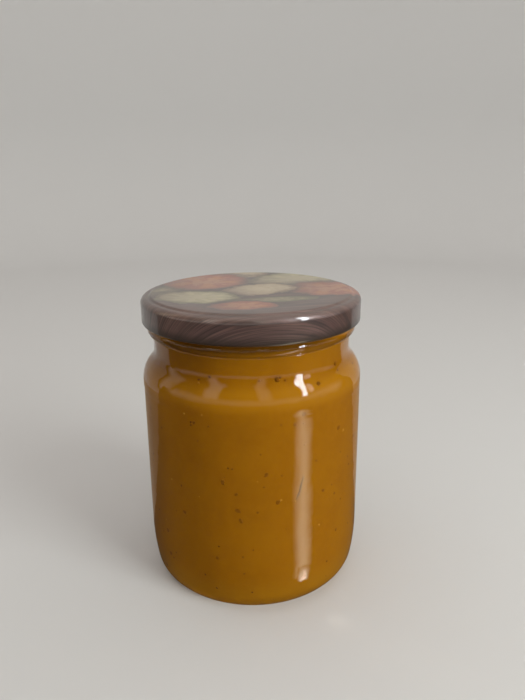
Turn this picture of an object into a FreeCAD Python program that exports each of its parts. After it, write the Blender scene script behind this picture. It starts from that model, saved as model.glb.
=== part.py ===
"""Half-litre glass jar of vegetable spread with a printed tinplate lug lid.

The jar stands on its base at the origin, with its axis along +Z. Sizes are in millimetres.
Every piece is a revolved half-section: radii run to the right and heights run upwards.
"""
import FreeCAD
import Part
import math
import os
import Sketcher

# Driving dimensions: alias, value and what it measures.
SIZES = (
    ("body_radius", 43.7, "outside radius of the jar's straight wall"),
    ("bearing_radius", 34.0, "outer radius of the flat ring that the jar stands on"),
    ("bearing_width", 2.6, "width of that ring"),
    ("base_step_width", 2.4, "radial width of the step inside the ring"),
    ("base_step_rise", 1.0, "height of that step"),
    ("base_dome_rise", 2.2, "height of the hollow base at the axis"),
    ("heel_arc", 8.6, "radius of the tight curve at the heel"),
    ("heel_height", 21.6, "height where the heel's slow curve meets the wall"),
    ("panel_top", 81.4, "top of the straight wall"),
    ("band_radius", 43.85, "outside radius of the band under the shoulder"),
    ("band_low", 83.2, "lower edge of that band"),
    ("band_high", 84.8, "upper edge of that band"),
    ("shoulder_arc", 12.0, "radius of the shoulder's outward curve"),
    ("neck_radius", 39.0, "outside radius of the neck"),
    ("neck_low", 97.1, "height where the shoulder ends and the neck starts"),
    ("bead_low", 102.9, "lower edge of the bead round the neck"),
    ("bead_high", 107.2, "upper edge of that bead"),
    ("bead_arc", 2.3, "radius of the bead's section"),
    ("finish_radius", 39.9, "outside radius of the glass inside the lid"),
    ("rim_height", 116.9, "height of the glass rim"),
    ("rim_outer_arc", 1.3, "outer rounding of the rim"),
    ("rim_inner_arc", 0.9, "inner rounding of the rim"),
    ("bore_radius", 36.5, "inside radius of the mouth and neck"),
    ("bore_low", 98.4, "lower end of the straight bore"),
    ("inner_shoulder_arc", 22.0, "radius of the curve inside the neck's foot"),
    ("cavity_radius", 40.9, "inside radius of the wall"),
    ("cavity_top", 82.0, "top of the straight inside wall"),
    ("cavity_heel_height", 22.0, "height where the inside heel meets the wall"),
    ("cavity_heel_arc", 6.0, "radius of the inside heel"),
    ("floor_radius", 33.4, "radius where the inside heel meets the floor"),
    ("floor_height", 2.0, "height of the floor beside the heel"),
    ("floor_crown", 5.6, "height of the floor at the axis"),
    ("fill_level", 114.2, "height of the spread's surface"),
    ("thread_count", 6.0, "glass ramps round the mouth, and lugs on the lid"),
    ("thread_low", 109.45, "underside of a glass ramp at its low end"),
    ("thread_rise", 1.3, "how far a ramp climbs"),
    ("thread_turns", 0.11, "length of a ramp, in turns round the axis"),
    ("thread_depth", 1.1, "how far a ramp stands out of the glass"),
    ("thread_thickness", 2.2, "height of a ramp at its root"),
    ("thread_land", 0.9, "height of a ramp at its tip"),
    ("thread_bite", 0.6, "how deep a ramp's section is rooted in the glass"),
    ("lid_radius", 43.0, "outside radius of the lid"),
    ("lid_low", 107.65, "lower edge of the lid's curl"),
    ("ring_height", 117.65, "top of the lid's outer ring"),
    ("ring_inner_radius", 40.3, "inner radius of that ring"),
    ("centre_radius", 27.0, "radius of the lid's flat centre"),
    ("centre_height", 118.1, "top of that centre"),
    ("panel_height", 118.35, "top of the raised edge round the centre"),
    ("panel_radius", 38.7, "outer radius of that edge"),
    ("crest_width", 2.8, "width of its level crest"),
    ("dish_arc", 79.3, "radius of the bends between the centre and its raised edge"),
    ("step_arc", 1.09, "radius of the bends between the raised edge and the ring"),
    ("lid_corner", 2.3, "outer rounding between the ring and the skirt"),
    ("curl_radius", 0.95, "outside radius of the rolled edge"),
    ("tin", 0.25, "thickness of the tinplate"),
    ("lug_reach", 2.75, "how far a lug stands in from the skirt's outside"),
    ("lug_root_low", 108.1, "underside of a lug inside the curl"),
    ("lug_root_top", 108.9, "top of a lug inside the curl"),
    ("lug_tip_low", 108.5, "underside of a lug at its tip"),
    ("lug_tip_top", 109.4, "top of a lug at its tip, just under its glass ramp"),
    ("lug_angle", 15.0, "width of a lug, in degrees round the axis"),
)
ORIGIN_POINT = (-1, 1)
HEIGHT_AXIS = -2
BASE_AXIS = -1
UP = FreeCAD.Vector(0, 0, 1)


def add_sheet(document):
    """Put the driving dimensions in a spreadsheet, one aliased cell each."""
    sheet = document.addObject("Spreadsheet::Sheet", "Sizes")
    for row, (alias, value, meaning) in enumerate(SIZES, start=1):
        sheet.set(f"A{row}", alias)
        sheet.set(f"B{row}", str(value))
        sheet.set(f"C{row}", meaning)
        sheet.setAlias(f"B{row}", alias)
    document.recompute()
    return sheet


class HalfSection:
    """A closed sketch beside the axis, whose corners are sums of the sheet's dimensions."""

    def __init__(self, body, sheet, name):
        self.sheet = sheet
        self.sketch = body.newObject("Sketcher::SketchObject", name)
        plane = next(item for item in body.Origin.OriginFeatures if item.Role == "XZ_Plane")
        self.sketch.AttachmentSupport = (plane, [""])
        self.sketch.MapMode = "FlatFace"
        self.first_end = None
        self.last_end = None
        self.here = None
        self.start_texts = None

    def total(self, text):
        """Value of a sum such as 'body_radius - tin'."""
        value = 0.0
        sign = 1.0
        for word in text.split():
            if word in "+-":
                sign = 1.0 if word == "+" else -1.0
            elif word != "0":
                value += sign * self.sheet.get(word)
        return value

    def bound(self, text):
        """The same sum as an expression on the sheet."""
        return " ".join(word if word in "+-" else f"{self.sheet.Name}.{word}" for word in text.split())

    def point(self, texts):
        """Place in the sketch of a corner given by two sums."""
        return FreeCAD.Vector(self.total(texts[0]), self.total(texts[1]), 0)

    def bind(self, kind, first, second, text):
        """Add a distance or a radius that follows the sheet."""
        numbers = (*first, *second) if second else first
        index = self.sketch.addConstraint(Sketcher.Constraint(kind, *numbers, self.total(text)))
        self.sketch.setExpression(f"Constraints[{index}]", self.bound(text))

    def fix(self, end, texts):
        """Hold a corner at its radius and height."""
        for kind, text, axis in zip(("DistanceX", "DistanceY"), texts, (HEIGHT_AXIS, BASE_AXIS)):
            if text == "0":
                self.sketch.addConstraint(Sketcher.Constraint("PointOnObject", *end, axis))
            elif text:
                self.bind(kind, ORIGIN_POINT, end, text)

    def start(self, texts):
        """First corner of the outline."""
        self.here = self.point(texts)
        self.start_texts = texts

    def join(self, near, far, smooth):
        """Tie a new segment's near end to the outline, and carry on from its far end."""
        if self.last_end is None:
            self.first_end = near
            self.fix(near, self.start_texts)
        else:
            kind = "Tangent" if smooth else "Coincident"
            self.sketch.addConstraint(Sketcher.Constraint(kind, *self.last_end, *near))
        self.last_end = far

    def line(self, texts, smooth=False):
        """Straight segment to a corner."""
        goal = self.point(texts)
        index = self.sketch.addGeometry(Part.LineSegment(self.here, goal))
        self.join((index, 1), (index, 2), smooth)
        self.fix(self.last_end, texts)
        self.here = goal

    def arc(self, goal, radius, left, smooth=False, texts=(None, None), radius_text=None):
        """Arc to a point, turning left or right; what isn't bound follows from tangency."""
        chord = goal - self.here
        height = math.sqrt(max(radius ** 2 - (chord.Length / 2) ** 2, 0.0))
        side = FreeCAD.Vector(-chord.y, chord.x, 0).normalize() * (height if left else -height)
        centre = (self.here + goal) * 0.5 + side
        angles = [math.atan2(end.y - centre.y, end.x - centre.x) for end in (self.here, goal)]
        if not left:
            angles.reverse()
        index = self.sketch.addGeometry(Part.ArcOfCircle(Part.Circle(centre, UP, radius), *angles))
        near, far = ((index, 1), (index, 2)) if left else ((index, 2), (index, 1))
        self.join(near, far, smooth)
        if radius_text:
            self.bind("Radius", (index,), None, radius_text)
        self.fix(self.last_end, texts)
        self.here = goal
        return index

    def round(self, texts, radius_text, left, smooth=True):
        """Arc between two bound corners, tangent to what comes before or of a bound radius."""
        bound_radius = None if smooth else radius_text
        self.arc(self.point(texts), self.total(radius_text), left, smooth, texts, bound_radius)

    def crown(self, texts, left):
        """Shallow arc between two bound corners, level where it meets the axis."""
        goal = self.point(texts)
        span = abs(goal.x - self.here.x)
        rise = abs(goal.y - self.here.y)
        smooth = self.last_end is not None
        index = self.arc(goal, (span ** 2 + rise ** 2) / (2 * rise), left, smooth, texts)
        self.sketch.addConstraint(Sketcher.Constraint("PointOnObject", index, 3, HEIGHT_AXIS))

    def s_bend(self, texts, radius_text, left, upright=True):
        """Two tangent arcs between parallel stretches; the first radius is bound."""
        goal = self.point(texts)
        step = goal - self.here
        along, across = (step.y, step.x) if upright else (step.x, step.y)
        turn = 2 * math.atan(abs(across / along))
        first = self.total(radius_text)
        second = abs(along) / math.sin(turn) - first
        forward = math.copysign(first * math.sin(turn), along)
        sideways = math.copysign(first * (1 - math.cos(turn)), across)
        middle = (sideways, forward) if upright else (forward, sideways)
        self.arc(self.here + FreeCAD.Vector(*middle, 0), first, left, True, radius_text=radius_text)
        self.arc(goal, second, not left, True, texts)

    def close(self, smooth=False):
        """Last straight segment, back to the first corner."""
        goal = self.point(self.start_texts)
        index = self.sketch.addGeometry(Part.LineSegment(self.here, goal))
        self.join((index, 1), (index, 2), smooth)
        self.sketch.addConstraint(Sketcher.Constraint("Coincident", *self.last_end, *self.first_end))


def heel_join(bearing, small_arc, wall, top, floor=0.0):
    """Radius of a heel's slow curve, and the point where it meets the tight curve."""
    reach = wall - bearing
    rise = top - floor - small_arc
    slow_arc = (reach ** 2 + rise ** 2 - small_arc ** 2) / (2 * (reach - small_arc))
    centre = FreeCAD.Vector(bearing, floor + small_arc, 0)
    slow_centre = FreeCAD.Vector(wall - slow_arc, top, 0)
    outward = (centre - slow_centre).normalize()
    return slow_arc, centre + outward * small_arc


def add_cavity(section):
    """Inside of the glass from the bore down to the floor at the axis."""
    section.line(("bore_radius", "bore_low"))
    section.s_bend(("cavity_radius", "cavity_top"), "inner_shoulder_arc", left=True)
    section.line(("cavity_radius", "cavity_heel_height"), smooth=True)
    measures = ("floor_radius", "cavity_heel_arc", "cavity_radius", "cavity_heel_height", "floor_height")
    slow_arc, middle = heel_join(*map(section.total, measures))
    section.arc(middle, slow_arc, False, True)
    floor_edge = ("floor_radius", "floor_height")
    heel_arc = section.total("cavity_heel_arc")
    section.arc(section.point(floor_edge), heel_arc, False, True, floor_edge, "cavity_heel_arc")
    section.crown(("0", "floor_crown"), left=True)


def revolve(body, section, name):
    """Turn a half-section once round the axis."""
    feature = body.newObject("PartDesign::Revolution", name)
    feature.Profile = section.sketch
    feature.ReferenceAxis = (section.sketch, ["V_Axis"])
    feature.Angle = 360.0
    return feature


def repeat(body, feature, section, name):
    """Repeat a closure feature evenly round the axis."""
    pattern = body.newObject("PartDesign::PolarPattern", name)
    pattern.Originals = [feature]
    pattern.Axis = (section.sketch, ["V_Axis"])
    pattern.Angle = 360.0
    pattern.setExpression("Occurrences", f"{section.sheet.Name}.thread_count")
    body.Tip = pattern


def add_body(document, label):
    """Start a piece with its own label, which names its file."""
    body = document.addObject("PartDesign::Body", label)
    body.Label = label
    return body


def make_glass_jar(document, sheet):
    """Pressed-and-blown jar: hollow base, heel, band, shoulder, neck bead and lug finish."""
    body = add_body(document, "glass_jar")
    section = HalfSection(body, sheet, "JarSection")
    ring_edge = "bearing_radius - bearing_width"
    section.start(("0", "base_dome_rise"))
    section.crown((f"{ring_edge} - base_step_width", "base_step_rise"), left=False)
    section.line((ring_edge, "0"))
    section.line(("bearing_radius", "0"))
    measures = ("bearing_radius", "heel_arc", "body_radius", "heel_height")
    slow_arc, middle = heel_join(*map(section.total, measures))
    section.arc(middle, section.total("heel_arc"), True, True, radius_text="heel_arc")
    wall_foot = ("body_radius", "heel_height")
    section.arc(section.point(wall_foot), slow_arc, True, True, wall_foot)
    section.line(("body_radius", "panel_top"), smooth=True)
    section.line(("band_radius", "band_low"))
    section.line(("band_radius", "band_high"))
    section.s_bend(("neck_radius", "neck_low"), "shoulder_arc", left=True)
    section.line(("neck_radius", "bead_low"), smooth=True)
    section.round(("finish_radius", "bead_high"), "bead_arc", left=True, smooth=False)
    section.line(("finish_radius", "rim_height - rim_outer_arc"))
    section.round(("finish_radius - rim_outer_arc", "rim_height"), "rim_outer_arc", left=True)
    section.line(("bore_radius + rim_inner_arc", "rim_height"))
    section.round(("bore_radius", "rim_height - rim_inner_arc"), "rim_inner_arc", left=True)
    add_cavity(section)
    section.close()
    revolve(body, section, "JarBlank")
    add_ramps(body, sheet)
    return body


def add_ramps(body, sheet):
    """Short helical ramps round the mouth, which draw the lid's lugs down."""
    root = "finish_radius - thread_bite"
    tip = "finish_radius + thread_depth"
    section = HalfSection(body, sheet, "RampSection")
    section.start((root, "thread_low"))
    section.line((tip, "thread_low"))
    section.line((tip, "thread_low + thread_land"))
    section.line((root, "thread_low + thread_thickness"))
    section.close()
    ramp = body.newObject("PartDesign::AdditiveHelix", "Ramp")
    ramp.Profile = section.sketch
    ramp.ReferenceAxis = (section.sketch, ["V_Axis"])
    ramp.Mode = "height-turns-angle"
    ramp.setExpression("Height", f"{sheet.Name}.thread_rise * 1 mm")
    ramp.setExpression("Turns", f"{sheet.Name}.thread_turns")
    repeat(body, ramp, section, "Ramps")


def make_spread(document, sheet):
    """The filling, which touches the glass all round up to its level."""
    body = add_body(document, "spread")
    section = HalfSection(body, sheet, "SpreadSection")
    section.start(("0", "fill_level"))
    section.line(("bore_radius", "fill_level"))
    add_cavity(section)
    section.close()
    revolve(body, section, "SpreadFilling")
    return body


def make_lid(document, sheet):
    """Tinplate lid: faintly dished panel, narrow outer ring, corner, skirt, rolled edge and lugs."""
    body = add_body(document, "lid")
    section = HalfSection(body, sheet, "LidSection")
    curl_inside = "lid_radius - curl_radius - curl_radius"
    curl_middle = "lid_low + curl_radius"
    crest_start = "panel_radius - crest_width"
    section.start(("0", "centre_height"))
    section.line(("centre_radius", "centre_height"))
    section.s_bend((crest_start, "panel_height"), "dish_arc", left=True, upright=False)
    section.line(("panel_radius", "panel_height"), smooth=True)
    section.s_bend(("ring_inner_radius", "ring_height"), "step_arc", left=False, upright=False)
    section.line(("lid_radius - lid_corner", "ring_height"), smooth=True)
    section.round(("lid_radius", "ring_height - lid_corner"), "lid_corner", left=False)
    section.line(("lid_radius", curl_middle))
    section.round((curl_inside, curl_middle), "curl_radius", left=False)
    section.round(("lid_radius - curl_radius", f"{curl_middle} + curl_radius"), "curl_radius", left=False)
    section.line(("lid_radius - curl_radius", f"{curl_middle} + curl_radius - tin"))
    section.round((f"{curl_inside} + tin", curl_middle), "curl_radius - tin", left=True, smooth=False)
    section.round(("lid_radius - tin", curl_middle), "curl_radius - tin", left=True)
    section.line(("lid_radius - tin", "ring_height - lid_corner"))
    section.round(("lid_radius - lid_corner", "ring_height - tin"), "lid_corner - tin", left=True)
    section.line(("ring_inner_radius", "ring_height - tin"))
    section.s_bend(("panel_radius", "panel_height - tin"), "step_arc", left=False, upright=False)
    section.line((crest_start, "panel_height - tin"), smooth=True)
    section.s_bend(("centre_radius", "centre_height - tin"), "dish_arc", left=True, upright=False)
    section.line(("0", "centre_height - tin"), smooth=True)
    section.close()
    revolve(body, section, "LidShell")
    add_lugs(body, sheet)
    return body


def add_lugs(body, sheet):
    """Flattened stretches of the curl that reach in under the glass ramps."""
    root = "lid_radius - curl_radius"
    tip = "lid_radius - lug_reach"
    section = HalfSection(body, sheet, "LugSection")
    section.start((root, "lug_root_low"))
    section.line((root, "lug_root_top"))
    section.line((tip, "lug_tip_top"))
    section.line((tip, "lug_tip_low"))
    section.close()
    lug = revolve(body, section, "Lug")
    lug.setExpression("Angle", f"{sheet.Name}.lug_angle * 1 deg")
    repeat(body, lug, section, "Lugs")


def make_sealing_ring(document, sheet):
    """Cured compound under the lid's edge, seated on the rim and round its outer edge."""
    body = add_body(document, "sealing_ring")
    section = HalfSection(body, sheet, "SealSection")
    section.start(("panel_radius - crest_width", "panel_height - tin"))
    section.line(("panel_radius - crest_width", "rim_height"))
    section.line(("finish_radius - rim_outer_arc", "rim_height"))
    section.round(("finish_radius", "rim_height - rim_outer_arc"), "rim_outer_arc", left=False)
    section.line(("lid_radius - tin", "ring_height - lid_corner"))
    corner = ("lid_radius - lid_corner", "ring_height - tin")
    section.round(corner, "lid_corner - tin", left=True, smooth=False)
    section.line(("ring_inner_radius", "ring_height - tin"))
    section.s_bend(("panel_radius", "panel_height - tin"), "step_arc", left=False, upright=False)
    section.close(smooth=True)
    revolve(body, section, "SealRing")
    return body


def check(document, bodies):
    """Stop if an object failed, a sketch is loose or a piece isn't one valid solid."""
    for item in document.Objects:
        if "Invalid" in item.State or "Error" in item.State:
            raise RuntimeError(f"{item.Label} failed: {item.State}")
        if item.TypeId == "Sketcher::SketchObject" and not item.FullyConstrained:
            raise RuntimeError(f"{item.Label} isn't fully constrained")
    for body in bodies:
        shape = body.Shape
        if shape.isNull() or not shape.isValid() or len(shape.Solids) != 1:
            raise RuntimeError(f"{body.Label} isn't one valid solid")
        print(f"{body.Label}: {shape.Volume:.0f} mm3, faces {len(shape.Faces)}")


def main():
    """Build the jar and write one file for each piece."""
    document = FreeCAD.newDocument("Jar")
    sheet = add_sheet(document)
    makers = (make_glass_jar, make_spread, make_sealing_ring, make_lid)
    bodies = [make(document, sheet) for make in makers]
    document.recompute()
    check(document, bodies)
    os.makedirs("parts", exist_ok=True)
    for body in bodies:
        body.Shape.exportStep(f"parts/{body.Label}.step")


main()
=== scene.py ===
"""Looks of the filled, closed jar: glass, spread, printed lid, studio and camera.

The jar's lengths are in millimetres until a mesh is written, and the studio's are in metres.
+Z runs up the jar's axis. Azimuths are in degrees, from the camera's side to the right.
"""
import math

import bpy
import numpy as np
from mathutils import Matrix, Vector


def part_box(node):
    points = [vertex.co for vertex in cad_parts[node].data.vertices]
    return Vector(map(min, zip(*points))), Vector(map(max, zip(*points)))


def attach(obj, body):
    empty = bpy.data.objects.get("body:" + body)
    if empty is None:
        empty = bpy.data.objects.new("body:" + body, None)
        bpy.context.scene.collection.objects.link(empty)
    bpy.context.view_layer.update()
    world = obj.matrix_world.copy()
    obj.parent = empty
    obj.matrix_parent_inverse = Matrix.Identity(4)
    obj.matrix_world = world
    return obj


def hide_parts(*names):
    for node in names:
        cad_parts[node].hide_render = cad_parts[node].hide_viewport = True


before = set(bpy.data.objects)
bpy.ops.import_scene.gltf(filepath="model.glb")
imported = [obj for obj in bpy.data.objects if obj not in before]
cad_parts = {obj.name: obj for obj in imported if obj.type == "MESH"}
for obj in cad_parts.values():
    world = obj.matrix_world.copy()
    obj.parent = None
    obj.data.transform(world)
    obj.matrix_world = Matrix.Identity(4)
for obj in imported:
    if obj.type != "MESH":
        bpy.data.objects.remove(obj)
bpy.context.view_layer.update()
MM = 0.001
TAU = 2 * math.pi


def box_mm(node):
    """Radius, lowest and highest point of a CAD node."""
    low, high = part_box(node)
    return high.x / MM, low.z / MM, high.z / MM


BAND_RADIUS, _, RIM_HEIGHT = box_mm("glass_jar")
LID_RADIUS, LID_LOW, LID_TOP = box_mm("lid")
FILL_LEVEL = box_mm("spread")[2]

# Section of the jar, which repeats the CAD model's driving sizes.
BODY_RADIUS = BAND_RADIUS - 0.15
BEARING_RADIUS = 34.0
BEARING_WIDTH = 2.6
HEEL_ARC = 8.6
HEEL_HEIGHT = 21.6
PANEL_TOP = 81.4
BAND_LOW = 83.2
BAND_HIGH = 84.8
BAND_ARC = 5.0
SHOULDER_ARC = 12.0
NECK_RADIUS = 39.0
NECK_LOW = 97.1
BEAD_LOW = 102.9
BEAD_HIGH = 107.2
BEAD_ARC = 2.3
FINISH_RADIUS = 39.9
RIM_OUTER_ARC = 1.3
RIM_INNER_ARC = 0.9
BORE_RADIUS = 36.5
BORE_LOW = 98.4
INNER_SHOULDER_ARC = 22.0
CAVITY_RADIUS = 40.9
CAVITY_TOP = 82.0
CAVITY_HEEL_HEIGHT = 22.0
CAVITY_HEEL_ARC = 6.0
FLOOR_RADIUS = 33.4
FLOOR_HEIGHT = 2.0
FLOOR_CROWN = 5.6
BASE_DOME = 2.2
BASE_STEP = 1.0
BASE_STEP_WIDTH = 2.4
BASE_STEP_ARC = 1.2

# Fineness of the jar's mesh: points round it, spacing of its rows, and where the finest rows start.
GLASS_STEPS = 288
WALL_SPACING = 0.9
BEAD_SPACING = 0.2
FINISH_SPACING = 0.4
CAVITY_SPACING = 1.6
BEAD_LEAD = 1.2

# Waves in the pressed glass: seed, count, waves round the jar, wavelength up it, and depth.
# A sink moves them inward, and the other values say over which heights they act.
BODY_WAVES = (3, 9, (2, 9), 60.0, 0.10)
BODY_SINK = 0.05
BODY_LOW = 3.0
BODY_TOP = RIM_HEIGHT - 10
BODY_FADE = 6.0
SHOULDER_WAVES = (8, 12, (6, 34), 12.0, 0.16)
SHOULDER_SINK = 0.06
SHOULDER_LOW = PANEL_TOP - 2
SHOULDER_FADE = 5.0

# Radii beyond which a point is on the outside: anywhere, and above the cavity's straight wall.
WALL_INSIDE = CAVITY_RADIUS + 0.5
NECK_INSIDE = BORE_RADIUS + 1.5

# Mould seams, by their angles from +X, and the crease just under the bead.
SEAM_ANGLES = (math.radians(241), math.radians(61))
SEAM_DEPTH = 0.06
SEAM_WIDTH = 0.35
SEAM_LIMIT = BAND_RADIUS - 0.1
CREASE_DEPTH = 0.3
CREASE_DROP = 0.15
CREASE_WIDTH = 0.25
CREASE_INSIDE = BORE_RADIUS + 2.0

# Sloping ramps at the mouth. The span is a share of a turn, and the fade a share of the span.
RAMP_COUNT = 6
RAMP_SPAN = 0.11
RAMP_START = 110.4
RAMP_RISE = 1.3
RAMP_HALF_HEIGHT = 1.3
RAMP_FLANK = 0.8
RAMP_DEPTH = 1.1
RAMP_FADE = 0.06
RAMP_FOOT = 109.2

# Knurls on the ring that the jar stands on, between two radii and below a height.
KNURL_COUNT = 96
KNURL_HEIGHT = 0.12
KNURL_INNER = BEARING_RADIUS - BEARING_WIDTH - 0.4
KNURL_OUTER = BEARING_RADIUS + 1.2
KNURL_FADE = 0.8
KNURL_TOP = 1.0

# The filling, which reaches into the glass by the overlap, and its radius at some heights.
SPREAD_STEPS = 240
SPREAD_SPACING = 1.5
SPREAD_OVERLAP = 0.2
FILL_HEIGHTS = (20.0, CAVITY_TOP, 90.3, BORE_LOW)
FILL_RADII = (41.1, 41.1, 38.6, 36.7)

# Bits in the filling: half their thickness, points round and along one, its longer side and its outline.
BIT_DEPTH = 0.07
BIT_AROUND = 10
BIT_ALONG = 4
BIT_LONGER = (1.0, 1.4)
BIT_WOBBLE = (0.75, 1.25)

# Fibre, from its upper end down: azimuth, height and half-thickness.
FIBRE = (
    (25.6, 57.2, 0.05), (25.2, 55.8, 0.19), (24.4, 54.3, 0.22), (23.9, 52.8, 0.23), (23.5, 51.2, 0.23),
    (22.7, 49.9, 0.22), (22.0, 48.7, 0.19), (21.3, 47.9, 0.05),
)
FIBRE_SIDES = 6
FIBRE_LIFT = 0.05
FIBRE_FLATNESS = 0.6

# Section of the lid.
TIN = 0.25
RING_DROP = 0.7
RING_INNER = 40.3
CENTRE_RADIUS = 27.0
CENTRE_DROP = 0.25
PANEL_RADIUS = 38.7
CREST_WIDTH = 2.8
DISH_ARC = 79.3
STEP_ARC = 1.09
LID_CORNER = 2.3
CURL_RADIUS = 0.95

# Fineness of the lid's mesh.
LID_STEPS = 360
CENTRE_SPACING = 1.2
DISH_SPACING = 0.6
EDGE_SPACING = 0.3
LINING_SPACING = 3.0


class Section:
    """Points of a half-section, laid along straight runs and tangent arcs."""

    MOST_TURN = 0.2

    def __init__(self, r, z, spacing):
        self.points = [(r, z)]
        self.spacing = spacing

    def line(self, r, z):
        """Straight run."""
        r0, z0 = self.points[-1]
        count = max(1, round(math.hypot(r - r0, z - z0) / self.spacing))
        for k in range(1, count + 1):
            self.points.append((r0 + (r - r0) * k / count, z0 + (z - z0) * k / count))

    def arc(self, r, z, radius, left):
        """Short arc of a given radius, turning left or right on the way."""
        r0, z0 = self.points[-1]
        chord = Vector((r - r0, z - z0))
        height = math.sqrt(max(radius ** 2 - (chord.length / 2) ** 2, 0.0))
        side = Vector((-chord.y, chord.x)).normalized() * (height if left else -height)
        centre = Vector((r0 + r, z0 + z)) / 2 + side
        start = math.atan2(z0 - centre.y, r0 - centre.x)
        turn = (math.atan2(z - centre.y, r - centre.x) - start) % TAU
        if not left:
            turn -= TAU
        by_length = math.ceil(abs(turn) * radius / self.spacing)
        count = max(3, by_length, math.ceil(abs(turn) / self.MOST_TURN))
        for k in range(1, count + 1):
            angle = start + turn * k / count
            self.points.append((centre.x + radius * math.cos(angle), centre.y + radius * math.sin(angle)))

    def s_bend(self, r, z, first, left, upright=True):
        """Two tangent arcs between parallel stretches; the first one's radius is given."""
        r0, z0 = self.points[-1]
        along, across = (z - z0, r - r0) if upright else (r - r0, z - z0)
        turn = 2 * math.atan(abs(across / along))
        second = abs(along) / math.sin(turn) - first
        forward = math.copysign(first * math.sin(turn), along)
        sideways = math.copysign(first * (1 - math.cos(turn)), across)
        middle = (sideways, forward) if upright else (forward, sideways)
        self.arc(r0 + middle[0], z0 + middle[1], first, left)
        self.arc(r, z, second, not left)

    def crown(self, z, left):
        """Shallow arc to the axis, level where it arrives."""
        r0, z0 = self.points[-1]
        self.arc(0.0, z, dome_radius(r0, abs(z - z0)), left)


def dome_radius(reach, rise):
    """Radius of a shallow dome with a given reach from the axis and rise."""
    return (reach ** 2 + rise ** 2) / (2 * rise)


def heel_join(bearing, small_arc, wall, top, floor):
    """Radius of a heel's slow curve, and the point where it meets the tight one."""
    reach = wall - bearing
    rise = top - floor - small_arc
    slow_arc = (reach ** 2 + rise ** 2 - small_arc ** 2) / (2 * (reach - small_arc))
    centre = Vector((bearing, floor + small_arc))
    outward = (centre - Vector((wall - slow_arc, top))).normalized()
    return slow_arc, centre + outward * small_arc


def lay_cavity(section, gap):
    """Inside of the jar from the bore to the floor, set back into the glass by gap."""
    section.line(BORE_RADIUS + gap, BORE_LOW)
    section.s_bend(CAVITY_RADIUS + gap, CAVITY_TOP, INNER_SHOULDER_ARC, left=True)
    section.line(CAVITY_RADIUS + gap, CAVITY_HEEL_HEIGHT)
    small = CAVITY_HEEL_ARC + gap
    slow, middle = heel_join(
        FLOOR_RADIUS, small, CAVITY_RADIUS + gap, CAVITY_HEEL_HEIGHT, FLOOR_HEIGHT - gap
    )
    section.arc(middle.x, middle.y, slow, False)
    section.arc(FLOOR_RADIUS, FLOOR_HEIGHT - gap, small, False)
    section.crown(FLOOR_CROWN - gap, left=True)


def jar_section():
    """The glass, from the hollow base outside to the floor inside."""
    ring_edge = BEARING_RADIUS - BEARING_WIDTH
    dome_edge = ring_edge - BASE_STEP_WIDTH
    section = Section(0.0, BASE_DOME, WALL_SPACING)
    section.arc(dome_edge, BASE_STEP, dome_radius(dome_edge, BASE_DOME - BASE_STEP), False)
    section.s_bend(ring_edge, 0.0, BASE_STEP_ARC, left=False, upright=False)
    section.line(BEARING_RADIUS, 0.0)
    slow, middle = heel_join(BEARING_RADIUS, HEEL_ARC, BODY_RADIUS, HEEL_HEIGHT, 0.0)
    section.arc(middle.x, middle.y, HEEL_ARC, True)
    section.arc(BODY_RADIUS, HEEL_HEIGHT, slow, True)
    section.line(BODY_RADIUS, PANEL_TOP)
    section.s_bend(BAND_RADIUS, BAND_LOW, BAND_ARC, left=False)
    section.line(BAND_RADIUS, BAND_HIGH)
    section.s_bend(NECK_RADIUS, NECK_LOW, SHOULDER_ARC, left=True)
    section.line(NECK_RADIUS, BEAD_LOW - BEAD_LEAD)
    section.spacing = BEAD_SPACING
    section.line(NECK_RADIUS, BEAD_LOW)
    section.arc(FINISH_RADIUS, BEAD_HIGH, BEAD_ARC, True)
    section.spacing = FINISH_SPACING
    section.line(FINISH_RADIUS, RIM_HEIGHT - RIM_OUTER_ARC)
    section.arc(FINISH_RADIUS - RIM_OUTER_ARC, RIM_HEIGHT, RIM_OUTER_ARC, True)
    section.line(BORE_RADIUS + RIM_INNER_ARC, RIM_HEIGHT)
    section.arc(BORE_RADIUS, RIM_HEIGHT - RIM_INNER_ARC, RIM_INNER_ARC, True)
    section.spacing = CAVITY_SPACING
    lay_cavity(section, 0.0)
    return section.points


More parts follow.
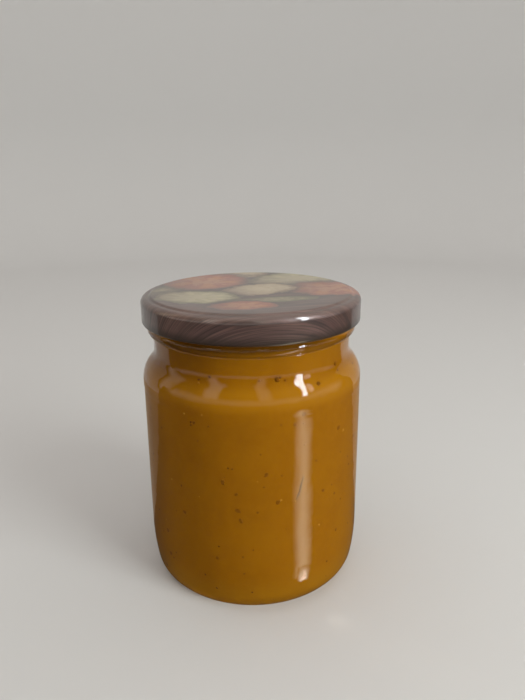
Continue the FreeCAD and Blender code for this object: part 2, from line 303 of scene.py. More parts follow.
def lid_section():
    """Outside of the lid, its rolled edge and its inside, from axis to axis."""
    ring = LID_TOP - RING_DROP
    centre = LID_TOP - CENTRE_DROP
    crest_start = PANEL_RADIUS - CREST_WIDTH
    curl_z = LID_LOW + CURL_RADIUS
    inner_curl = CURL_RADIUS - TIN
    section = Section(0.0, centre, CENTRE_SPACING)
    section.line(CENTRE_RADIUS, centre)
    section.spacing = DISH_SPACING
    section.s_bend(crest_start, LID_TOP, DISH_ARC, left=True, upright=False)
    section.line(PANEL_RADIUS, LID_TOP)
    section.spacing = EDGE_SPACING
    section.s_bend(RING_INNER, ring, STEP_ARC, left=False, upright=False)
    section.line(LID_RADIUS - LID_CORNER, ring)
    section.arc(LID_RADIUS, ring - LID_CORNER, LID_CORNER, False)
    section.line(LID_RADIUS, curl_z)
    section.arc(LID_RADIUS - 2 * CURL_RADIUS, curl_z, CURL_RADIUS, False)
    section.arc(LID_RADIUS - CURL_RADIUS, curl_z + CURL_RADIUS, CURL_RADIUS, False)
    outside = len(section.points)
    section.line(LID_RADIUS - CURL_RADIUS, curl_z + inner_curl)
    section.arc(LID_RADIUS - CURL_RADIUS - inner_curl, curl_z, inner_curl, True)
    section.arc(LID_RADIUS - TIN, curl_z, inner_curl, True)
    section.spacing = DISH_SPACING
    section.line(LID_RADIUS - TIN, ring - LID_CORNER)
    section.arc(LID_RADIUS - LID_CORNER, ring - TIN, LID_CORNER - TIN, True)
    section.line(RING_INNER, ring - TIN)
    section.s_bend(PANEL_RADIUS, LID_TOP - TIN, STEP_ARC, left=False, upright=False)
    section.line(crest_start, LID_TOP - TIN)
    section.s_bend(CENTRE_RADIUS, centre - TIN, DISH_ARC, left=True, upright=False)
    section.spacing = LINING_SPACING
    section.line(0.0, centre - TIN)
    return section.points, outside


def new_mesh(name, places, faces, smooth=True):
    """Mesh of points in metres and of faces."""
    mesh = bpy.data.meshes.new(name)
    mesh.from_pydata(places, [], faces)
    mesh.polygons.foreach_set("use_smooth", [smooth] * len(mesh.polygons))
    mesh.update()
    return mesh


def new_object(name, data):
    """Object in the scene for a mesh, a lamp or a camera."""
    new = bpy.data.objects.new(name, data)
    bpy.context.scene.collection.objects.link(new)
    return new


def ring_faces(first, rings, steps):
    """Quads between closed rings of points, which follow one another from the first point."""
    faces = []
    for ring in range(rings - 1):
        low, high = first + ring * steps, first + (ring + 1) * steps
        for k in range(steps):
            after = (k + 1) % steps
            faces.append((low + k, low + after, high + after, high + k))
    return faces


def turned_over(quads):
    """Quads seen from their other side, each from the same first point."""
    return [(a, d, c, b) for a, b, c, d in quads]


def grid_faces(rows, columns):
    """Faces of a grid of points, one row after another."""
    return [
        (i * columns + k, i * columns + k + 1, (i + 1) * columns + k + 1, (i + 1) * columns + k)
        for i in range(rows - 1) for k in range(columns - 1)
    ]


def lathe(name, points, steps, shape=None):
    """Closed turned piece from a half-section that starts and ends on the axis."""
    r, z = np.array(points[1:-1]).T
    angle = np.arange(steps) * TAU / steps
    r, angle = np.meshgrid(r, angle, indexing="ij")
    z = np.repeat(z[:, None], steps, axis=1)
    if shape:
        r, z = shape(r, z, angle)
    rings = np.stack([r * np.cos(angle), r * np.sin(angle), z], axis=-1).reshape(-1, 3)
    ends = np.array([[0.0, 0.0, points[0][1]], [0.0, 0.0, points[-1][1]]])
    rows = len(points) - 2
    faces = ring_faces(0, rows, steps)
    first, last = rows * steps, rows * steps + 1
    top = (rows - 1) * steps
    for k in range(steps):
        after = (k + 1) % steps
        faces.append((first, after, k))
        faces.append((last, top + k, top + after))
    return new_object(name, new_mesh(name, np.vstack([rings, ends]) * MM, faces))


def window(value, low, high, edge):
    """Smooth rise from 0 to 1 and fall back to 0 between two values, over edges of one width."""
    rise = np.clip((value - low) / edge, 0, 1)
    fall = np.clip((high - value) / edge, 0, 1)
    step = np.minimum(rise, fall)
    return step * step * (3 - 2 * step)


def ripples(z, angle, seed, count, turns, wave, amplitude):
    """Sum of seeded waves round the jar, from -amplitude to amplitude."""
    draw = np.random.default_rng(seed)
    total = np.zeros_like(z)
    for _ in range(count):
        around = draw.integers(*turns)
        upward = draw.uniform(-1, 1) * TAU / wave
        total += np.cos(around * angle + upward * z + draw.uniform(0, TAU))
    return total * amplitude / count


def sink_waves(r, z, angle, outside, body):
    """Shallow waves of the pressed glass, which only go inward."""
    uneven = ripples(z, angle, *BODY_WAVES) - BODY_SINK
    shoulder = window(z, SHOULDER_LOW, BEAD_LOW, SHOULDER_FADE)
    uneven += shoulder * (ripples(z, angle, *SHOULDER_WAVES) - SHOULDER_SINK)
    return np.where(outside, r + np.minimum(uneven, 0.0) * body, r)


def raise_seams(r, angle, outside, body):
    """Fine mould seams up the outside, which leave out the band."""
    for seam in SEAM_ANGLES:
        away = (angle - seam + math.pi) % TAU - math.pi
        ridge = SEAM_DEPTH * np.exp(-(away * r / SEAM_WIDTH) ** 2)
        r = np.where(outside & (r < SEAM_LIMIT), r + ridge * body, r)
    return r


def raise_ramps(r, z, angle, outside):
    """Ramps that the lid's lugs slide under."""
    for k in range(RAMP_COUNT):
        travel = ((angle - k * TAU / RAMP_COUNT) % TAU) / (RAMP_SPAN * TAU)
        middle = RAMP_START + RAMP_RISE * travel
        profile = np.clip(RAMP_HALF_HEIGHT - np.abs(z - middle), 0, RAMP_FLANK) / RAMP_FLANK
        on = window(travel, 0.0, 1.0, RAMP_FADE) * outside * (z > RAMP_FOOT)
        r = r + RAMP_DEPTH * profile * on
    return r


def shape_glass(r, z, angle):
    """Waves, seams and crease of pressed glass, the ramps at the mouth and the knurled base ring."""
    outside = r > WALL_INSIDE
    outside |= (z > CAVITY_TOP) & (r > NECK_INSIDE)
    body = window(z, BODY_LOW, BODY_TOP, BODY_FADE)
    r = sink_waves(r, z, angle, outside, body)
    r = raise_seams(r, angle, outside, body)
    crease = CREASE_DEPTH * np.exp(-((z - BEAD_LOW + CREASE_DROP) / CREASE_WIDTH) ** 2)
    r = np.where(outside & (r > CREASE_INSIDE), r - crease, r)
    r = raise_ramps(r, z, angle, outside)
    bearing = window(r, KNURL_INNER, KNURL_OUTER, KNURL_FADE) * (z < KNURL_TOP)
    z = z + bearing * KNURL_HEIGHT * (0.5 + 0.5 * np.cos(KNURL_COUNT * angle))
    return r, z


def make_glass():
    """The jar itself, in clear glass."""
    piece = lathe("jar_glass", jar_section(), GLASS_STEPS, shape_glass)
    piece.data.materials.append(glass_material())
    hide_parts("glass_jar")
    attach(piece, "root")


def make_spread():
    """The filling, which reaches just into the glass."""
    section = Section(0.0, FILL_LEVEL, SPREAD_SPACING)
    section.line(BORE_RADIUS + SPREAD_OVERLAP, FILL_LEVEL)
    lay_cavity(section, SPREAD_OVERLAP)
    piece = lathe("spread_filling", section.points, SPREAD_STEPS)
    piece.data.materials.append(spread_material())
    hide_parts("spread")
    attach(piece, "root")


def fill_radius(z):
    """Radius near the filling's surface at a height; below the lowest one it stays the same."""
    return float(np.interp(z, FILL_HEIGHTS, FILL_RADII))


def bit_places(draw, sizes, heights):
    """Points of one flat irregular bit: its rings, then its outer and its inner middle."""
    z = draw.uniform(*heights)
    angle = draw.uniform(0, TAU)
    size = draw.uniform(*sizes) / 2
    longer = draw.uniform(*BIT_LONGER)
    tilt = draw.uniform(0, math.pi)
    wobble = draw.uniform(*BIT_WOBBLE, BIT_AROUND)
    r = fill_radius(z)
    places = []
    for j in range(1, BIT_ALONG):
        rise = math.pi * j / BIT_ALONG
        for k in range(BIT_AROUND):
            turn = TAU * k / BIT_AROUND
            reach = size * math.sin(rise) * wobble[k]
            u, v = reach * math.cos(turn) * longer, reach * math.sin(turn)
            across = u * math.cos(tilt) - v * math.sin(tilt)
            upward = u * math.sin(tilt) + v * math.cos(tilt)
            out = r + BIT_DEPTH * math.cos(rise)
            spot = angle + across / r
            places.append((out * math.cos(spot), out * math.sin(spot), z + upward))
    for out in (r + BIT_DEPTH, r - BIT_DEPTH):
        places.append((out * math.cos(angle), out * math.sin(angle), z))
    return places


def make_bits(name, seed, count, sizes, heights, material):
    """Flat irregular bits scattered round the filling, against the glass."""
    draw = np.random.default_rng(seed)
    places, faces = [], []
    for _ in range(count):
        first = len(places)
        places += bit_places(draw, sizes, heights)
        faces += turned_over(ring_faces(first, BIT_ALONG - 1, BIT_AROUND))
        outer = len(places) - 2
        inner_ring = outer - BIT_AROUND
        for k in range(BIT_AROUND):
            after = (k + 1) % BIT_AROUND
            faces.append((outer, first + k, first + after))
            faces.append((outer + 1, inner_ring + after, inner_ring + k))
    finish_bits(name, places, faces, material)


def finish_bits(name, places, faces, material):
    """Piece of the filling's bits, riding with the jar."""
    piece = new_object(name, new_mesh(name, np.array(places) * MM, faces))
    piece.data.materials.append(material)
    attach(piece, "root")


def make_fibre():
    """One thin dark fibre that lies bent against the glass."""
    places = []
    for turn, z, thickness in FIBRE:
        r = fill_radius(z) + FIBRE_LIFT
        angle = math.radians(turn) - math.pi / 2
        for j in range(FIBRE_SIDES):
            spin = TAU * j / FIBRE_SIDES
            across = thickness * math.cos(spin) / r
            out = r + FIBRE_FLATNESS * thickness * math.sin(spin)
            places.append((out * math.cos(angle + across), out * math.sin(angle + across), z))
    faces = ring_faces(0, len(FIBRE), FIBRE_SIDES)
    faces.append(tuple(range(FIBRE_SIDES))[::-1])
    faces.append(tuple(range(len(places) - FIBRE_SIDES, len(places))))
    finish_bits("plant_fibre", places, faces, bit_material("fibre", rgb(36, 20, 6), rgb(56, 30, 8)))


def make_lid():
    """Printed tinplate lid, with the print's flat-sheet coordinates on its points."""
    points, outside = lid_section()
    piece = lathe("lid_shell", points, LID_STEPS)
    developed = np.zeros(len(points))
    for k in range(1, len(points)):
        developed[k] = developed[k - 1] + math.dist(points[k], points[k - 1])
    angle = np.arange(LID_STEPS) * TAU / LID_STEPS
    sheet = np.zeros((len(piece.data.vertices), 3))
    length, angle = np.meshgrid(developed[1:-1], angle, indexing="ij")
    sheet[: length.size, 0] = (length * np.cos(angle)).ravel()
    sheet[: length.size, 1] = (length * np.sin(angle)).ravel()
    attribute = piece.data.attributes.new("sheet", "FLOAT_VECTOR", "POINT")
    attribute.data.foreach_set("vector", sheet.ravel())
    piece.data.materials.append(print_material())
    piece.data.materials.append(lacquer_material())
    piece.data.polygons.foreach_set("material_index", lining_faces(len(points) - 3, outside - 2))
    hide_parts("lid")
    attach(piece, "root")


def lining_faces(rows, first_inside):
    """For each face of the lid 1 if it is inside, 0 if not; faces at the two ends take turns."""
    inside = [int(row >= first_inside) for row in range(rows) for _ in range(LID_STEPS)]
    return inside + [0, 1] * LID_STEPS


class Nodes:
    """Short way to build a node material."""

    def __init__(self, name):
        self.material = bpy.data.materials.new(name)
        self.material.use_nodes = True
        self.tree = self.material.node_tree
        self.tree.nodes.clear()
        self.output = self.add("ShaderNodeOutputMaterial")

    def add(self, kind, settings=None, **inputs):
        """New node; settings are its own properties and inputs its sockets, by name."""
        node = self.tree.nodes.new(kind)
        for key, value in (settings or {}).items():
            setattr(node, key, value)
        for key, value in inputs.items():
            self.feed(node.inputs[key.replace("_", " ")], value)
        return node

    def feed(self, socket, value):
        """Set a socket, or link it if the value is another socket."""
        if isinstance(value, bpy.types.NodeSocket):
            self.tree.links.new(value, socket)
        else:
            socket.default_value = value

    def math(self, operation, a, b=0.0):
        """Math node's result."""
        node = self.add("ShaderNodeMath", {"operation": operation})
        self.feed(node.inputs[0], a)
        self.feed(node.inputs[1], b)
        return node.outputs[0]

    def mix(self, factor, a, b):
        """Colour mix."""
        node = self.add("ShaderNodeMix", {"data_type": "RGBA"})
        self.feed(node.inputs["Factor"], factor)
        self.feed(node.inputs[6], a)
        self.feed(node.inputs[7], b)
        return node.outputs[2]

    def noise(self, vector, scale, detail, rough=0.5):
        """Noise value."""
        node = self.add(
            "ShaderNodeTexNoise", None, Vector=vector, Scale=scale, Detail=detail, Roughness=rough
        )
        return node.outputs["Fac"]

    def ramp(self, value, low, high, out_low=0.0, out_high=1.0):
        """Smooth remap of a value."""
        node = self.add("ShaderNodeMapRange", {"interpolation_type": "SMOOTHSTEP"})
        for socket, number in zip(node.inputs[:5], (value, low, high, out_low, out_high)):
            self.feed(socket, number)
        return node.outputs[0]

    def near(self, value, centre, far, close, weight=1.0):
        """Weight that grows from 0 at one distance from a centre to its full size at a closer one."""
        away = self.math("ABSOLUTE", self.math("SUBTRACT", value, centre))
        return self.ramp(away, far, close, 0.0, weight)

    def stretched(self, vector, scale):
        """Coordinates scaled by three factors."""
        node = self.add("ShaderNodeMapping", None, Vector=vector, Scale=scale)
        return node.outputs[0]

    def object_mm(self):
        """Object coordinates in millimetres."""
        coordinates = self.add("ShaderNodeTexCoord").outputs["Object"]
        return self.stretched(coordinates, (1 / MM,) * 3)

    def part(self, vector, axis):
        """One coordinate of a vector."""
        return self.add("ShaderNodeSeparateXYZ", None, Vector=vector).outputs[axis]

    def bump(self, height, strength, distance):
        """Bump normal; the distance is in metres."""
        node = self.add("ShaderNodeBump", None, Height=height, Strength=strength, Distance=distance)
        return node.outputs[0]

    def finish(self, shader):
        """Connect the surface and return the material."""
        self.tree.links.new(shader, self.output.inputs["Surface"])
        return self.material


def rgb(red, green, blue):
    """Linear colour from screen values of 0 to 255."""
    levels = [value / 255 for value in (red, green, blue)]
    return tuple(v / 12.92 if v <= 0.04045 else ((v + 0.055) / 1.055) ** 2.4 for v in levels) + (1.0,)


def bit_material(name, dark, pale):
    """Colour of the small bits in the filling."""
    n = Nodes(name)
    colour = n.mix(n.noise(n.object_mm(), scale=1.1, detail=2.0), dark, pale)
    bit = n.add("ShaderNodeBsdfPrincipled", None, Base_Color=colour, Roughness=0.6)
    bit.inputs["Specular IOR Level"].default_value = 0.05
    return n.finish(bit.outputs[0])


def glass_material():
    """Clear soda-lime glass that lets lamp light through to the filling."""
    n = Nodes("clear_glass")
    place = n.object_mm()
    wave = n.noise(place, scale=0.09, detail=2.0)
    bump = n.bump(wave, strength=0.35, distance=0.0006)
    smear = n.ramp(n.noise(place, scale=0.12, detail=4.0), 0.4, 0.75, 0.015, 0.06)
    glass = n.add("ShaderNodeBsdfPrincipled", None, Roughness=smear, Normal=bump)
    glass.inputs["Base Color"].default_value = (0.985, 0.995, 0.98, 1.0)
    glass.inputs["Transmission Weight"].default_value = 1.0
    glass.inputs["IOR"].default_value = 1.5
    glass.inputs["Specular Tint"].default_value = (0.5, 0.5, 0.5, 1.0)
    clear = n.add("ShaderNodeBsdfTransparent")
    shadow = n.add("ShaderNodeLightPath").outputs["Is Shadow Ray"]
    mixed = n.add("ShaderNodeMixShader")
    n.feed(mixed.inputs[0], shadow)
    n.feed(mixed.inputs[1], glass.outputs[0])
    n.feed(mixed.inputs[2], clear.outputs[0])
    return n.finish(mixed.outputs[0])


# Changes of the filling's colour by height: painted shade under the lid, a painted shade line at the
# neck's crease, painted light on the shoulder, and a paler heel. Two are ramps: from, to, and the
# weights at both. The line and the band lie about a height, then come the distances at which they
# start and are full, and their weight.
LID_SHADE = (103.9, 104.5, 0.0, 0.8)
NECK_SHADE_LINE = (102.0, 0.5, 0.1, 0.8)
SHOULDER_PAINTED_LIGHT = (87.5, 5.5, 1.0, 0.46)
PALE_HEEL = (18.0, 6.0, 0.0, 0.45)


def spread_material():
    """Smooth ochre puree with faint mottling; painted shade under the lid and at the neck's crease,
    painted light on the shoulder, and paler at the heel.
    """
    n = Nodes("zucchini_puree")
    place = n.object_mm()
    broad = n.ramp(n.noise(place, scale=0.05, detail=2.0), 0.35, 0.65)
    cloud = n.ramp(n.noise(place, scale=0.3, detail=4.0, rough=0.6), 0.4, 0.7)
    pulp = n.ramp(n.noise(place, scale=1.3, detail=3.0, rough=0.6), 0.45, 0.75)
    colour = n.mix(broad, rgb(150, 96, 2), rgb(155, 101, 3))
    colour = n.mix(n.math("MULTIPLY", cloud, 0.5), colour, rgb(158, 103, 5))
    colour = n.mix(n.math("MULTIPLY", pulp, 0.3), colour, rgb(142, 87, 2))
    height = n.part(place, "Z")
    # Painted shade under the lid, where the lid's shadow falls on the filling.
    colour = n.mix(n.ramp(height, *LID_SHADE), colour, rgb(84, 50, 4))
    # Painted shade line along the crease under the bead.
    colour = n.mix(n.near(height, *NECK_SHADE_LINE), colour, rgb(96, 58, 2))
    # Painted light: the shoulder's band is made paler, as if lit more from above.
    colour = n.mix(n.near(height, *SHOULDER_PAINTED_LIGHT), colour, rgb(174, 119, 12))
    colour = n.mix(n.ramp(height, *PALE_HEEL), colour, rgb(172, 120, 18))
    puree = n.add("ShaderNodeBsdfPrincipled", None, Base_Color=colour, Roughness=0.6)
    puree.inputs["Specular IOR Level"].default_value = 0.03
    return n.finish(puree.outputs[0])


# Grain of the printed boards: stretch along and across it, detail, roughness, ramp, weight and colour.
BOARD_TURN = -9
BOARD_BEND = 3.0
STREAKS = ((0.02, 0.9, 1.0), 4.0, 0.65, (0.4, 0.62), 0.6, rgb(112, 84, 76))
FIBRES = ((0.035, 2.9, 1.0), 3.0, 0.6, (0.46, 0.62), 0.75, rgb(36, 24, 27))
KNOTS = ((0.05, 0.16, 1.0), 2.0, 0.5, (0.56, 0.7), 0.65, rgb(34, 24, 27))

# Ramps by height for the painted sheen on the lid's corner and the painted shade on its skirt: from, to,
# and weights at both.
CORNER_PAINTED_SHEEN = (115.4, 117.3, 0.0, 0.18)
SKIRT_SHADE = (112.0, 108.6, 0.0, 0.8)

# Rounds and leaves of the print: kind, centre on the flat sheet, half-length, half-width, turn in degrees.
MOTIFS = (
    ("leaf", (-33.0, 3.0), 15.0, 5.5, 70),
    ("cream", (-7.0, 35.0), 15.0, 9.0, -12),
    ("slice", (-19.0, 19.0), 19.0, 16.0, 10),
    ("green", (19.0, 22.0), 20.0, 15.0, 24),
    ("slice", (30.0, 2.0), 17.0, 13.0, -20),
    ("cream", (3.0, 2.0), 15.0, 10.0, 25),
    ("green", (-21.0, -11.0), 16.0, 11.0, -8),
    ("leaf", (8.0, -17.0), 18.0, 4.4, 10),
    ("slice", (-3.0, -26.0), 12.0, 7.0, 4),
)
# Skin, flesh and heart of each kind, and the seed pockets of the kinds that have them.
MOTIF_COLOURS = {
    "slice": (rgb(128, 78, 64), rgb(158, 82, 64), rgb(182, 128, 92)),
    "green": (rgb(112, 114, 80), rgb(168, 162, 126), rgb(184, 174, 142)),
    "cream": (rgb(150, 132, 104), rgb(186, 168, 136), rgb(198, 182, 150)),
    "leaf": (rgb(88, 88, 62), rgb(112, 112, 80), rgb(146, 140, 106)),
}
MOTIF_POCKETS = {"slice": (5, rgb(196, 132, 70)), "green": (9, rgb(206, 196, 150))}

# Layers of a motif, by the share of its radius at which each is absent and at which it is full, with
# weights where they aren't 0 and 1. Pockets lie about a share, and the dark side goes by the length.
SHADOW = (1.4, 1.0, 0.0, 0.75)
OUTLINE = (1.06, 0.97)
FLESH = (0.95, 0.78)
HEART = (0.75, 0.1)
POCKETS = (0.52, 0.3, 0.12)
DARK_SIDE = (0.2, -1.1, 0.0, 0.55)


def paint_motif(n, colour, sheet, wobble, blotches, motif):
    """One round or leaf over the print so far: shadow, skin, flesh, seed pockets and heart."""
    kind, centre, half_length, half_width, turn = motif
    place = n.add(
        "ShaderNodeMapping", {"vector_type": "TEXTURE"}, Vector=sheet, Location=(*centre, 0.0),
        Rotation=(0.0, 0.0, math.radians(turn)), Scale=(half_length, half_width, 1.0),
    ).outputs[0]
    length = n.add("ShaderNodeVectorMath", {"operation": "LENGTH"}, Vector=place)
    away = n.math("ADD", length.outputs["Value"], wobble)
    skin, flesh, heart = MOTIF_COLOURS[kind]
    inside = n.mix(n.ramp(away, *FLESH), skin, flesh)
    if kind in MOTIF_POCKETS:
        count, pocket_colour = MOTIF_POCKETS[kind]
        spokes = n.add("ShaderNodeTexGradient", {"gradient_type": "RADIAL"}, Vector=place)
        turns = n.math("MULTIPLY", spokes.outputs["Fac"], TAU * count)
        wedge = n.ramp(n.math("SINE", turns), -0.2, 0.7)
        pocket = n.math("MULTIPLY", wedge, n.near(away, *POCKETS))
        inside = n.mix(n.math("MULTIPLY", pocket, 0.6), inside, pocket_colour)
    inside = n.mix(n.ramp(n.math("ADD", away, blotches), *HEART), inside, heart)
    inside = n.mix(n.ramp(n.part(place, "X"), *DARK_SIDE), inside, rgb(84, 62, 58))
    colour = n.mix(n.ramp(away, *SHADOW), colour, rgb(54, 42, 44))
    return n.mix(n.ramp(away, *OUTLINE), colour, inside)


def paint_boards(n, sheet):
    """Dark boards with bent grain, under the rest of the print."""
    turn = (0.0, 0.0, math.radians(BOARD_TURN))
    turned = n.add("ShaderNodeMapping", None, Vector=sheet, Rotation=turn).outputs[0]
    drift = n.add("ShaderNodeTexNoise", None, Vector=turned, Scale=0.022, Detail=1.0).outputs["Color"]
    bend = n.add("ShaderNodeVectorMath", {"operation": "MULTIPLY_ADD"})
    for socket, value in zip(bend.inputs, (drift, (0.0, BOARD_BEND, 0.0), turned)):
        n.feed(socket, value)
    bent = bend.outputs[0]
    boards = n.noise(n.stretched(bent, (0.01, 0.22, 1.0)), scale=1.0, detail=2.0)
    colour = n.mix(n.ramp(boards, 0.38, 0.62), rgb(62, 40, 40), rgb(94, 66, 62))
    for stretch, detail, rough, limits, weight, tone in (STREAKS, FIBRES, KNOTS):
        grain = n.ramp(n.noise(n.stretched(bent, stretch), 1.0, detail, rough), *limits)
        colour = n.mix(n.math("MULTIPLY", grain, weight), colour, tone)
    return colour


def print_material():
    """Varnished print: dark boards with plain vegetable-coloured rounds and leaves on the panel, a painted
    sheen on the corner and painted shade on the skirt.
    """
    n = Nodes("lid_print")
    sheet = n.add("ShaderNodeAttribute", {"attribute_name": "sheet"}).outputs["Vector"]
    colour = paint_boards(n, sheet)
    wobble = n.ramp(n.noise(sheet, scale=0.13, detail=4.0, rough=0.6), 0.2, 0.8, -0.16, 0.16)
    blotches = n.ramp(n.noise(sheet, scale=0.33, detail=3.0, rough=0.6), 0.3, 0.7, -0.35, 0.35)
    for motif in MOTIFS:
        colour = paint_motif(n, colour, sheet, wobble, blotches, motif)
    height = n.part(n.object_mm(), "Z")
    # Painted sheen: the lid's corner is made paler, where the varnish would mirror the bright room.
    colour = n.mix(n.ramp(height, *CORNER_PAINTED_SHEEN), colour, rgb(176, 148, 134))
    # Painted shade: the skirt and rolled edge darken towards the bottom, where they turn away from the
    # light.
    colour = n.mix(n.ramp(height, *SKIRT_SHADE), colour, rgb(34, 21, 14))
    varnish = n.add("ShaderNodeBsdfPrincipled", None, Base_Color=colour, Roughness=0.4)
    varnish.inputs["Coat Weight"].default_value = 0.7
    varnish.inputs["Coat Roughness"].default_value = 0.04
    return n.finish(varnish.outputs[0])


def lacquer_material():
    """Pale lacquer inside the lid."""
    n = Nodes("lid_lacquer")
    speck = n.ramp(n.noise(n.object_mm(), scale=0.8, detail=3.0), 0.3, 0.7)
    colour = n.mix(speck, rgb(196, 186, 160), rgb(206, 196, 170))
    lacquer = n.add("ShaderNodeBsdfPrincipled", None, Base_Color=colour, Roughness=0.3)
    return n.finish(lacquer.outputs[0])


def seal_material():
    """Cured sealing compound."""
    n = Nodes("sealing_compound")
    speck = n.noise(n.object_mm(), scale=1.5, detail=3.0)
    colour = n.mix(speck, rgb(190, 184, 170), rgb(206, 200, 188))
    bump = n.bump(speck, strength=0.3, distance=0.0002)
    seal = n.add("ShaderNodeBsdfPrincipled", None, Base_Color=colour, Roughness=0.55, Normal=bump)
    return n.finish(seal.outputs[0])


def dress_seal():
    """The sealing ring keeps its CAD solid."""
    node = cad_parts["sealing_ring"]
    node.data.materials.clear()
    node.data.materials.append(seal_material())


def matt_material(name, colour, specular):
    """One matt colour, for the studio."""
    n = Nodes(name)
    matt = n.add("ShaderNodeBsdfPrincipled", None, Roughness=0.9)
    matt.inputs["Base Color"].default_value = (*colour, 1.0)
    matt.inputs["Specular IOR Level"].default_value = specular
    return n.finish(matt.outputs[0])


# Studio sweep: points round it, radii of the rings on its floor, its curve, its wall and its colour.
COVE_STEPS = 96
COVE_RINGS = (0.06, 0.12, 0.2, 0.4)
COVE_FLOOR = 0.82
COVE_ARC = 0.25
COVE_ARC_RINGS = 16
COVE_TOP = 1.3
PAPER = (0.72, 0.72, 0.72)


def make_cove():
    """Round studio sweep: pale floor that curves up into a wall."""
    rings = [(r, 0.0) for r in (*COVE_RINGS, COVE_FLOOR)]
    for k in range(1, COVE_ARC_RINGS + 1):
        angle = math.pi / 2 * k / COVE_ARC_RINGS
        rings.append((COVE_FLOOR + COVE_ARC * math.sin(angle), COVE_ARC * (1 - math.cos(angle))))
    rings.append((COVE_FLOOR + COVE_ARC, COVE_TOP))
    turns = [k * TAU / COVE_STEPS for k in range(COVE_STEPS)]
    places = [(0.0, 0.0, 0.0)]
    for r, z in rings:
        places += [(r * math.cos(turn), r * math.sin(turn), z) for turn in turns]
    faces = [(0, 1 + k, 1 + (k + 1) % COVE_STEPS) for k in range(COVE_STEPS)]
    faces += turned_over(ring_faces(1, len(rings), COVE_STEPS))
    cove = new_object("studio_cove", new_mesh("studio_cove", places, faces))
    cove.data.materials.append(matt_material("studio_paper", PAPER, 0.1))


# The point that lamps and cards face, the radius of the dark flag's upright part, the room band's
# gap to it, and the height of the sunlit patches over the floor.
CENTRE = Vector((0.0, 0.0, 0.06))
FLAG_RADIUS = 0.8
BAND_GAP = 0.02
SUN_LIFT = 0.0008

# Left and right edge of the dark flag: azimuth at which it leaves the jar's wall, and its course.
FLAG_EDGES = ((-116.4, -104.0), (120.0, 120.0))
# Azimuths, and the height of the flag's upright part at each.
FLAG_HEIGHTS = (
    (-104.0, -98.0, -92.0, -86.0, 100.0, 108.0, 120.0),
    (0.02, 0.1, 0.3, 2.2, 2.2, 0.3, 0.02),
)
# Radius of each row of the backings, and the share of the height that it reaches.
FLOOR_ROWS = tuple((radius, 0.0) for radius in (0.0345, 0.05, 0.07, 0.1, 0.16, 0.3))
FLAG_ROWS = FLOOR_ROWS + tuple((FLAG_RADIUS, share) for share in (0.0, 0.3, 1.0))
FLAG_LIFT = 0.0003
FLAG_COLOUR = (0.14, 0.11, 0.08)
FLOOR_LIFT = 0.00015
FLOOR_COLOUR = (0.46, 0.38, 0.29)
BACKING_STEPS = 90
GLOW_STEPS = 24


def aim(azimuth, elevation):
    """Direction from the jar."""
    around, upward = math.radians(azimuth), math.radians(elevation)
    level = Vector((math.sin(around), -math.cos(around), 0.0)) * math.cos(upward)
    return level + Vector((0.0, 0.0, math.sin(upward)))


def edge_azimuth(radius, normal, course):
    """Azimuth at which a line that leaves the jar's wall on a course crosses a circle round the jar."""
    wall = BODY_RADIUS * MM
    if radius <= wall:
        return normal
    turn = math.radians(course - normal)
    reach = math.sqrt(radius ** 2 - (wall * math.sin(turn)) ** 2) - wall * math.cos(turn)
    place = aim(normal, 0) * wall + aim(course, 0) * reach
    return math.degrees(math.atan2(place.x, -place.y))


def flag_limits(radius):
    """Azimuths of the dark flag's two edges at a radius."""
    return [edge_azimuth(radius, *edge) for edge in FLAG_EDGES]


def all_round(radius):
    """Azimuths of a full turn, at any radius."""
    return -180.0, 180.0


def show_in_reflections(name, mesh):
    """Stage piece that only mirroring surfaces see."""
    card = new_object(name, mesh)
    card.visible_camera = False
    card.visible_diffuse = False
    card.visible_shadow = False
    card.visible_transmission = False


def add_backing(name, rows, limits, lift, colour):
    """Matt sheet round the jar, seen only in reflections, like the unlit side of a room."""
    places = []
    for radius, share in rows:
        left, right = limits(radius)
        for k in range(BACKING_STEPS + 1):
            azimuth = left + (right - left) * k / BACKING_STEPS
            height = share * float(np.interp(azimuth, *FLAG_HEIGHTS))
            places.append(aim(azimuth, 0) * radius + Vector((0.0, 0.0, lift + height)))
    mesh = new_mesh(name, places, grid_faces(len(rows), BACKING_STEPS + 1), smooth=False)
    mesh.materials.append(matt_material(name, colour, 0.0))
    show_in_reflections(name, mesh)


def add_glow(name, place, level, colour, soft):
    """Glowing sheet seen only in reflections; place gives its points for -1 to 1 each way.

    soft is the share of the half-width and of the half-height over which the sheet fades at its edges.
    """
    places, edges = [], []
    for i in range(GLOW_STEPS + 1):
        for k in range(GLOW_STEPS + 1):
            u, v = 2 * k / GLOW_STEPS - 1, 2 * i / GLOW_STEPS - 1
            places.append(place(u, v))
            edges.append(np.clip((1 - abs(u)) / soft[0], 0, 1) * np.clip((1 - abs(v)) / soft[1], 0, 1))
    mesh = new_mesh(name, places, grid_faces(GLOW_STEPS + 1, GLOW_STEPS + 1), smooth=False)
    mesh.attributes.new("edge", "FLOAT", "POINT").data.foreach_set("value", edges)
    n = Nodes(name)
    edge = n.add("ShaderNodeAttribute", {"attribute_name": "edge"}).outputs["Fac"]
    glow = n.add("ShaderNodeEmission", None, Strength=n.math("MULTIPLY", n.ramp(edge, 0.0, 1.0), level))
    glow.inputs["Color"].default_value = (*colour, 1.0)
    mesh.materials.append(n.finish(glow.outputs[0]))
    show_in_reflections(name, mesh)


def flat_card(azimuth, elevation, distance, size, lean):
    """Points of a flat card that faces the jar."""
    direction = aim(azimuth, elevation)
    turned = direction.to_track_quat("Z", "Y").to_matrix() @ Matrix.Rotation(math.radians(lean), 3, "Z")

    def place(u, v):
        return CENTRE + direction * distance + turned @ Vector((u * size[0] / 2, v * size[1] / 2, 0.0))

    return place


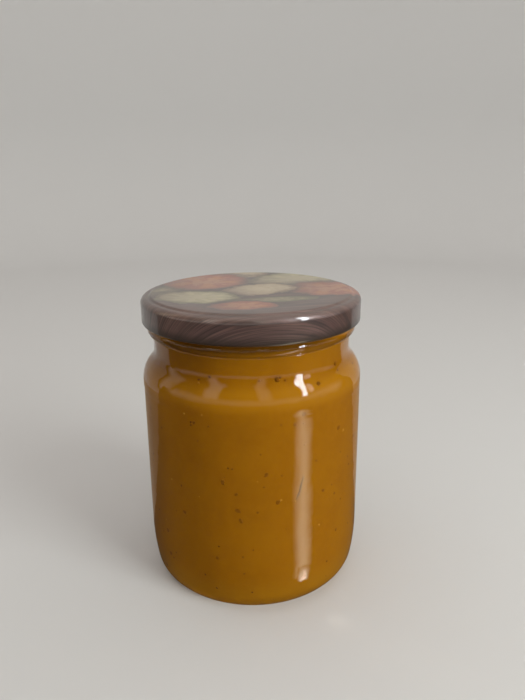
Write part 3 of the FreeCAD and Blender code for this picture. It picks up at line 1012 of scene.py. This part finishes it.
def floor_wedge(normal, half_width, near, far):
    """Points of the floor patch that the wall mirrors as an upright strip."""
    def place(u, v):
        reach = near + (far - near) * ((v + 1) / 2) ** 2
        turn = normal + half_width * u
        return aim(turn, 0) * BODY_RADIUS * MM + aim(2 * turn, 0) * reach + Vector((0.0, 0.0, SUN_LIFT))

    return place


def room_band(left, right, low, high):
    """Points of a low band round the front of the room, just inside the dark flag."""
    def place(u, v):
        azimuth = (left + right) / 2 + (right - left) / 2 * u
        height = (low + high) / 2 + (high - low) / 2 * v
        return aim(azimuth, 0) * (FLAG_RADIUS - BAND_GAP) + Vector((0.0, 0.0, height))

    return place


def add_lamp(name, azimuth, elevation, distance, size, power, colour):
    """Rectangular lamp that faces the jar."""
    direction = aim(azimuth, elevation)
    data = bpy.data.lights.new(name, "AREA")
    data.shape = "RECTANGLE"
    data.size, data.size_y = size
    data.energy = power
    data.color = colour
    lamp = new_object(name, data)
    lamp.location = CENTRE + direction * distance
    lamp.rotation_euler = direction.to_track_quat("Z", "Y").to_euler()
    lamp.visible_camera = False
    return lamp


WARM = (1.0, 0.88, 0.76)
SUNLIT = (1.0, 0.92, 0.68)
DAYLIGHT = (0.9, 0.96, 1.0)
ROSY = (1.0, 0.78, 0.72)
TAN = (1.0, 0.8, 0.6)
KEY_COLOUR = (0.96, 1.0, 0.96)
WORLD_COLOUR = (1.0, 0.94, 0.88, 1.0)
WORLD_STRENGTH = 0.86

# Sheets that the jar mirrors: name, points, strength, colour, and softness across and up.
GLOWS = (
    ("window", flat_card(57, 33, 0.75, (0.115, 0.72), -14), 34.0, DAYLIGHT, (0.3, 0.1)),
    ("curtain", flat_card(65, 30, 0.76, (0.09, 0.4), -14), 7.0, ROSY, (0.6, 0.5)),
    ("doorway", flat_card(-45, 38, 0.75, (0.24, 1.0), 10), 2.6, WARM, (0.7, 0.3)),
    ("side_wall", flat_card(-98, 24, 0.75, (0.34, 0.9), 0), 1.5, TAN, (0.8, 0.4)),
    ("far_wall", flat_card(12, 38, 0.75, (0.2, 1.0), 0), 1.8, WARM, (0.7, 0.3)),
    ("room_band", room_band(-100, 106, -0.06, 0.42), 1.3, WARM, (0.15, 1.0)),
    ("floor_sun", floor_wedge(26.3, 6.8, 0.012, 0.212), 6.2, SUNLIT, (1.0, 0.1)),
    ("floor_spark", floor_wedge(27.6, 4.2, 0.009, 0.022), 14.0, WARM, (0.9, 0.7)),
)


def light_studio():
    """Broad key from the right front, a pale world, and the room that the jar mirrors."""
    key = add_lamp(
        "key", azimuth=50, elevation=27, distance=0.8, size=(0.3, 0.7), power=3.4, colour=KEY_COLOUR
    )
    key.visible_glossy = False
    add_backing("dark_flag", FLAG_ROWS, flag_limits, FLAG_LIFT, FLAG_COLOUR)
    add_backing("brown_floor", FLOOR_ROWS, all_round, FLOOR_LIFT, FLOOR_COLOUR)
    for glow in GLOWS:
        add_glow(*glow)
    world = bpy.data.worlds.new("studio_world")
    world.use_nodes = True
    background = world.node_tree.nodes["Background"]
    background.inputs["Color"].default_value = WORLD_COLOUR
    background.inputs["Strength"].default_value = WORLD_STRENGTH
    bpy.context.scene.world = world


# Camera: focal length and long side of the picture in pixels, sensor width, place and turn.
FOCAL_PIXELS = 620.0
LONG_SIDE_PIXELS = 700.0
SENSOR = 36.0
CAMERA_PLACE = (0.0, -0.24007, 0.16831)
PITCH = math.radians(17.31)
YAW = math.radians(1.03)
ROLL = math.radians(0.58)


def add_camera():
    """Hand-held view from a little above the jar."""
    forward = Vector((math.sin(YAW) * math.cos(PITCH), math.cos(YAW) * math.cos(PITCH), -math.sin(PITCH)))
    level = Vector((math.cos(YAW), -math.sin(YAW), 0.0))
    up = level.cross(forward)
    right = level * math.cos(ROLL) - up * math.sin(ROLL)
    up = right.cross(forward)
    data = bpy.data.cameras.new("camera")
    data.sensor_width = SENSOR
    data.lens = FOCAL_PIXELS / LONG_SIDE_PIXELS * SENSOR
    camera = new_object("camera", data)
    turned = Matrix((right, up, -forward)).transposed().to_4x4()
    camera.matrix_world = Matrix.Translation(CAMERA_PLACE) @ turned
    bpy.context.scene.camera = camera


# Bits in the filling: name, seed, count, sizes, heights, and the name and two colours of their material.
BITS = (
    ("herb_specks", 12, 110, (0.3, 0.8), (8.0, 95.0), ("herb", rgb(66, 36, 8), rgb(124, 70, 6))),
    ("pulp_specks", 31, 44, (0.4, 1.0), (22.0, 92.0), ("pulp", rgb(170, 116, 18), rgb(200, 146, 50))),
    ("skin_flecks", 5, 90, (0.7, 1.7), (8.0, 95.0), ("skin", rgb(122, 74, 4), rgb(138, 86, 4))),
)

bpy.context.scene.view_settings.view_transform = "Standard"
make_glass()
make_spread()
for name, seed, count, sizes, heights, material in BITS:
    make_bits(name, seed, count, sizes, heights, bit_material(*material))
make_fibre()
make_lid()
dress_seal()
make_cove()
light_studio()
add_camera()
